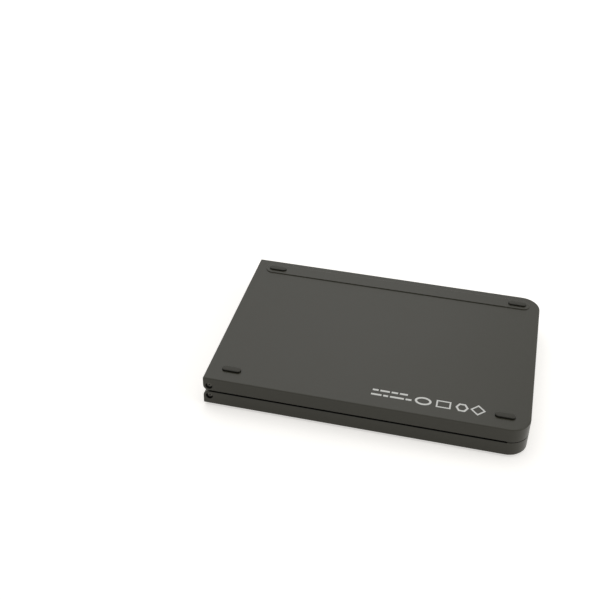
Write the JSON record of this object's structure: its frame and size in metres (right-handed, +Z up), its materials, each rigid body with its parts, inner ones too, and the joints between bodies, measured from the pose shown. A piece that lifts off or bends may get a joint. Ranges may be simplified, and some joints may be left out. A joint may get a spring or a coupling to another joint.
{
  "type": "folding keyboard",
  "caption": "Thin two-part keyboard folded shut like a book, with a two-pin hinge at one short end, pill-shaped rubber feet and a raised rear bar.",
  "frame": {"origin": "on the surface that the shut keyboard stands on, under the middle of its outline", "axes": "+X from the hinge end to the outer end, +Y from the front edge to the rear edge, +Z up"},
  "size_m": [0.146, 0.1, 0.0172],
  "materials": {
    "case_plastic": "fine matt soft-touch coat over moulded ABS",
    "frame_plastic": "matt moulded ABS",
    "key_plastic": "matt moulded ABS keycap",
    "spine_plastic": "matt moulded nylon",
    "scissor_plastic": "natural acetal",
    "lens_plastic": "clear acrylic light guide, frosted",
    "foot_rubber": "dark silicone rubber",
    "dome_rubber": "pale silicone rubber",
    "steel_plate": "rolled steel sheet",
    "link_steel": "machined steel",
    "screw_steel": "zinc-plated steel",
    "pin_steel": "blackened steel",
    "socket_steel": "stamped stainless steel",
    "magnet_nickel": null,
    "membrane_film": "polyester film with printed tracks",
    "circuit_board": "green solder mask on glass fibre",
    "battery_foil": "laminated aluminium pouch",
    "ribbon_film": "amber polyimide flat cable"
  },
  "bodies": {
    "right_half": {"right_bottom_case": "case_plastic", "right_key_frame": "frame_plastic", "right_support_plate": "steel_plate", "right_membrane": "membrane_film", "right_rubber_domes": "dome_rubber", "right_scissor_links": "scissor_plastic", "right_feet": "foot_rubber", "right_case_screws": "screw_steel", "right_magnets": "magnet_nickel", "right_hinge_pins": "pin_steel"},
    "hinge_link": {"front_hinge_link": "link_steel", "rear_hinge_link": "link_steel", "hinge_spine": "spine_plastic", "ribbon_cable": "ribbon_film"},
    "left_half": {"left_bottom_case": "case_plastic", "left_key_frame": "frame_plastic", "left_support_plate": "steel_plate", "left_membrane": "membrane_film", "left_rubber_domes": "dome_rubber", "left_scissor_links": "scissor_plastic", "left_feet": "foot_rubber", "left_case_screws": "screw_steel", "left_magnets": "magnet_nickel", "left_hinge_pins": "pin_steel", "battery_pouch": "battery_foil", "main_circuit_board": "circuit_board", "charging_socket": "socket_steel", "indicator_lens": "lens_plastic"},
    "left_number_keys": {"left_number_keys": "key_plastic"},
    "left_edge_keys": {"left_edge_keys": "key_plastic"},
    "left_space_bar": {"left_space_bar": "key_plastic"},
    "key_q": {"key_q": "key_plastic"},
    "key_w": {"key_w": "key_plastic"},
    "key_e": {"key_e": "key_plastic"},
    "key_r": {"key_r": "key_plastic"},
    "key_t": {"key_t": "key_plastic"},
    "key_a": {"key_a": "key_plastic"},
    "key_s": {"key_s": "key_plastic"},
    "key_d": {"key_d": "key_plastic"},
    "key_f": {"key_f": "key_plastic"},
    "key_g": {"key_g": "key_plastic"},
    "key_z": {"key_z": "key_plastic"},
    "key_x": {"key_x": "key_plastic"},
    "key_c": {"key_c": "key_plastic"},
    "key_v": {"key_v": "key_plastic"},
    "key_b": {"key_b": "key_plastic"},
    "right_number_keys": {"right_number_keys": "key_plastic"},
    "right_edge_keys": {"right_edge_keys": "key_plastic"},
    "right_space_bar": {"right_space_bar": "key_plastic"},
    "key_y": {"key_y": "key_plastic"},
    "key_u": {"key_u": "key_plastic"},
    "key_i": {"key_i": "key_plastic"},
    "key_o": {"key_o": "key_plastic"},
    "key_p": {"key_p": "key_plastic"},
    "key_h": {"key_h": "key_plastic"},
    "key_j": {"key_j": "key_plastic"},
    "key_k": {"key_k": "key_plastic"},
    "key_l": {"key_l": "key_plastic"},
    "key_n": {"key_n": "key_plastic"},
    "key_m": {"key_m": "key_plastic"}
  },
  "joints": [
    {"name": "fold_lower_pivot", "type": "hinge", "parent": "right_half", "child": "hinge_link", "pos_m": [-0.0702, 0, 0.00565], "axis": [0, -1, 0], "range_deg": [0, 90], "deforming": ["ribbon_cable"]},
    {"name": "fold_upper_pivot", "type": "hinge", "parent": "hinge_link", "child": "left_half", "pos_m": [-0.0702, 0, 0.01155], "axis": [0, -1, 0], "range_deg": [0, 90]},
    {"name": "key_left_number_keys_press", "type": "slide", "parent": "left_half", "child": "left_number_keys", "axis": [0, 0, 1], "range_m": [0, 0.0012], "stiffness_N_per_m": 2100, "springref_m": -0.0005, "deforming": ["left_rubber_domes", "left_scissor_links"]},
    {"name": "key_left_edge_keys_press", "type": "slide", "parent": "left_half", "child": "left_edge_keys", "axis": [0, 0, 1], "range_m": [0, 0.0012], "stiffness_N_per_m": 2100, "springref_m": -0.0005},
    {"name": "key_left_space_bar_press", "type": "slide", "parent": "left_half", "child": "left_space_bar", "axis": [0, 0, 1], "range_m": [0, 0.0012], "stiffness_N_per_m": 300, "springref_m": -0.0005},
    {"name": "key_q_press", "type": "slide", "parent": "left_half", "child": "key_q", "axis": [0, 0, 1], "range_m": [0, 0.0012], "stiffness_N_per_m": 300, "springref_m": -0.0005},
    {"name": "key_w_press", "type": "slide", "parent": "left_half", "child": "key_w", "axis": [0, 0, 1], "range_m": [0, 0.0012], "stiffness_N_per_m": 300, "springref_m": -0.0005},
    {"name": "key_e_press", "type": "slide", "parent": "left_half", "child": "key_e", "axis": [0, 0, 1], "range_m": [0, 0.0012], "stiffness_N_per_m": 300, "springref_m": -0.0005},
    {"name": "key_r_press", "type": "slide", "parent": "left_half", "child": "key_r", "axis": [0, 0, 1], "range_m": [0, 0.0012], "stiffness_N_per_m": 300, "springref_m": -0.0005},
    {"name": "key_t_press", "type": "slide", "parent": "left_half", "child": "key_t", "axis": [0, 0, 1], "range_m": [0, 0.0012], "stiffness_N_per_m": 300, "springref_m": -0.0005},
    {"name": "key_a_press", "type": "slide", "parent": "left_half", "child": "key_a", "axis": [0, 0, 1], "range_m": [0, 0.0012], "stiffness_N_per_m": 300, "springref_m": -0.0005},
    {"name": "key_s_press", "type": "slide", "parent": "left_half", "child": "key_s", "axis": [0, 0, 1], "range_m": [0, 0.0012], "stiffness_N_per_m": 300, "springref_m": -0.0005},
    {"name": "key_d_press", "type": "slide", "parent": "left_half", "child": "key_d", "axis": [0, 0, 1], "range_m": [0, 0.0012], "stiffness_N_per_m": 300, "springref_m": -0.0005},
    {"name": "key_f_press", "type": "slide", "parent": "left_half", "child": "key_f", "axis": [0, 0, 1], "range_m": [0, 0.0012], "stiffness_N_per_m": 300, "springref_m": -0.0005},
    {"name": "key_g_press", "type": "slide", "parent": "left_half", "child": "key_g", "axis": [0, 0, 1], "range_m": [0, 0.0012], "stiffness_N_per_m": 300, "springref_m": -0.0005},
    {"name": "key_z_press", "type": "slide", "parent": "left_half", "child": "key_z", "axis": [0, 0, 1], "range_m": [0, 0.0012], "stiffness_N_per_m": 300, "springref_m": -0.0005},
    {"name": "key_x_press", "type": "slide", "parent": "left_half", "child": "key_x", "axis": [0, 0, 1], "range_m": [0, 0.0012], "stiffness_N_per_m": 300, "springref_m": -0.0005},
    {"name": "key_c_press", "type": "slide", "parent": "left_half", "child": "key_c", "axis": [0, 0, 1], "range_m": [0, 0.0012], "stiffness_N_per_m": 300, "springref_m": -0.0005},
    {"name": "key_v_press", "type": "slide", "parent": "left_half", "child": "key_v", "axis": [0, 0, 1], "range_m": [0, 0.0012], "stiffness_N_per_m": 300, "springref_m": -0.0005},
    {"name": "key_b_press", "type": "slide", "parent": "left_half", "child": "key_b", "axis": [0, 0, 1], "range_m": [0, 0.0012], "stiffness_N_per_m": 300, "springref_m": -0.0005},
    {"name": "key_right_number_keys_press", "type": "slide", "parent": "right_half", "child": "right_number_keys", "axis": [0, 0, -1], "range_m": [0, 0.0012], "stiffness_N_per_m": 2100, "springref_m": -0.0005, "deforming": ["right_rubber_domes", "right_scissor_links"]},
    {"name": "key_right_edge_keys_press", "type": "slide", "parent": "right_half", "child": "right_edge_keys", "axis": [0, 0, -1], "range_m": [0, 0.0012], "stiffness_N_per_m": 4800, "springref_m": -0.0005},
    {"name": "key_right_space_bar_press", "type": "slide", "parent": "right_half", "child": "right_space_bar", "axis": [0, 0, -1], "range_m": [0, 0.0012], "stiffness_N_per_m": 300, "springref_m": -0.0005},
    {"name": "key_y_press", "type": "slide", "parent": "right_half", "child": "key_y", "axis": [0, 0, -1], "range_m": [0, 0.0012], "stiffness_N_per_m": 300, "springref_m": -0.0005},
    {"name": "key_u_press", "type": "slide", "parent": "right_half", "child": "key_u", "axis": [0, 0, -1], "range_m": [0, 0.0012], "stiffness_N_per_m": 300, "springref_m": -0.0005},
    {"name": "key_i_press", "type": "slide", "parent": "right_half", "child": "key_i", "axis": [0, 0, -1], "range_m": [0, 0.0012], "stiffness_N_per_m": 300, "springref_m": -0.0005},
    {"name": "key_o_press", "type": "slide", "parent": "right_half", "child": "key_o", "axis": [0, 0, -1], "range_m": [0, 0.0012], "stiffness_N_per_m": 300, "springref_m": -0.0005},
    {"name": "key_p_press", "type": "slide", "parent": "right_half", "child": "key_p", "axis": [0, 0, -1], "range_m": [0, 0.0012], "stiffness_N_per_m": 300, "springref_m": -0.0005},
    {"name": "key_h_press", "type": "slide", "parent": "right_half", "child": "key_h", "axis": [0, 0, -1], "range_m": [0, 0.0012], "stiffness_N_per_m": 300, "springref_m": -0.0005},
    {"name": "key_j_press", "type": "slide", "parent": "right_half", "child": "key_j", "axis": [0, 0, -1], "range_m": [0, 0.0012], "stiffness_N_per_m": 300, "springref_m": -0.0005},
    {"name": "key_k_press", "type": "slide", "parent": "right_half", "child": "key_k", "axis": [0, 0, -1], "range_m": [0, 0.0012], "stiffness_N_per_m": 300, "springref_m": -0.0005},
    {"name": "key_l_press", "type": "slide", "parent": "right_half", "child": "key_l", "axis": [0, 0, -1], "range_m": [0, 0.0012], "stiffness_N_per_m": 300, "springref_m": -0.0005},
    {"name": "key_n_press", "type": "slide", "parent": "right_half", "child": "key_n", "axis": [0, 0, -1], "range_m": [0, 0.0012], "stiffness_N_per_m": 300, "springref_m": -0.0005},
    {"name": "key_m_press", "type": "slide", "parent": "right_half", "child": "key_m", "axis": [0, 0, -1], "range_m": [0, 0.0012], "stiffness_N_per_m": 300, "springref_m": -0.0005}
  ]
}
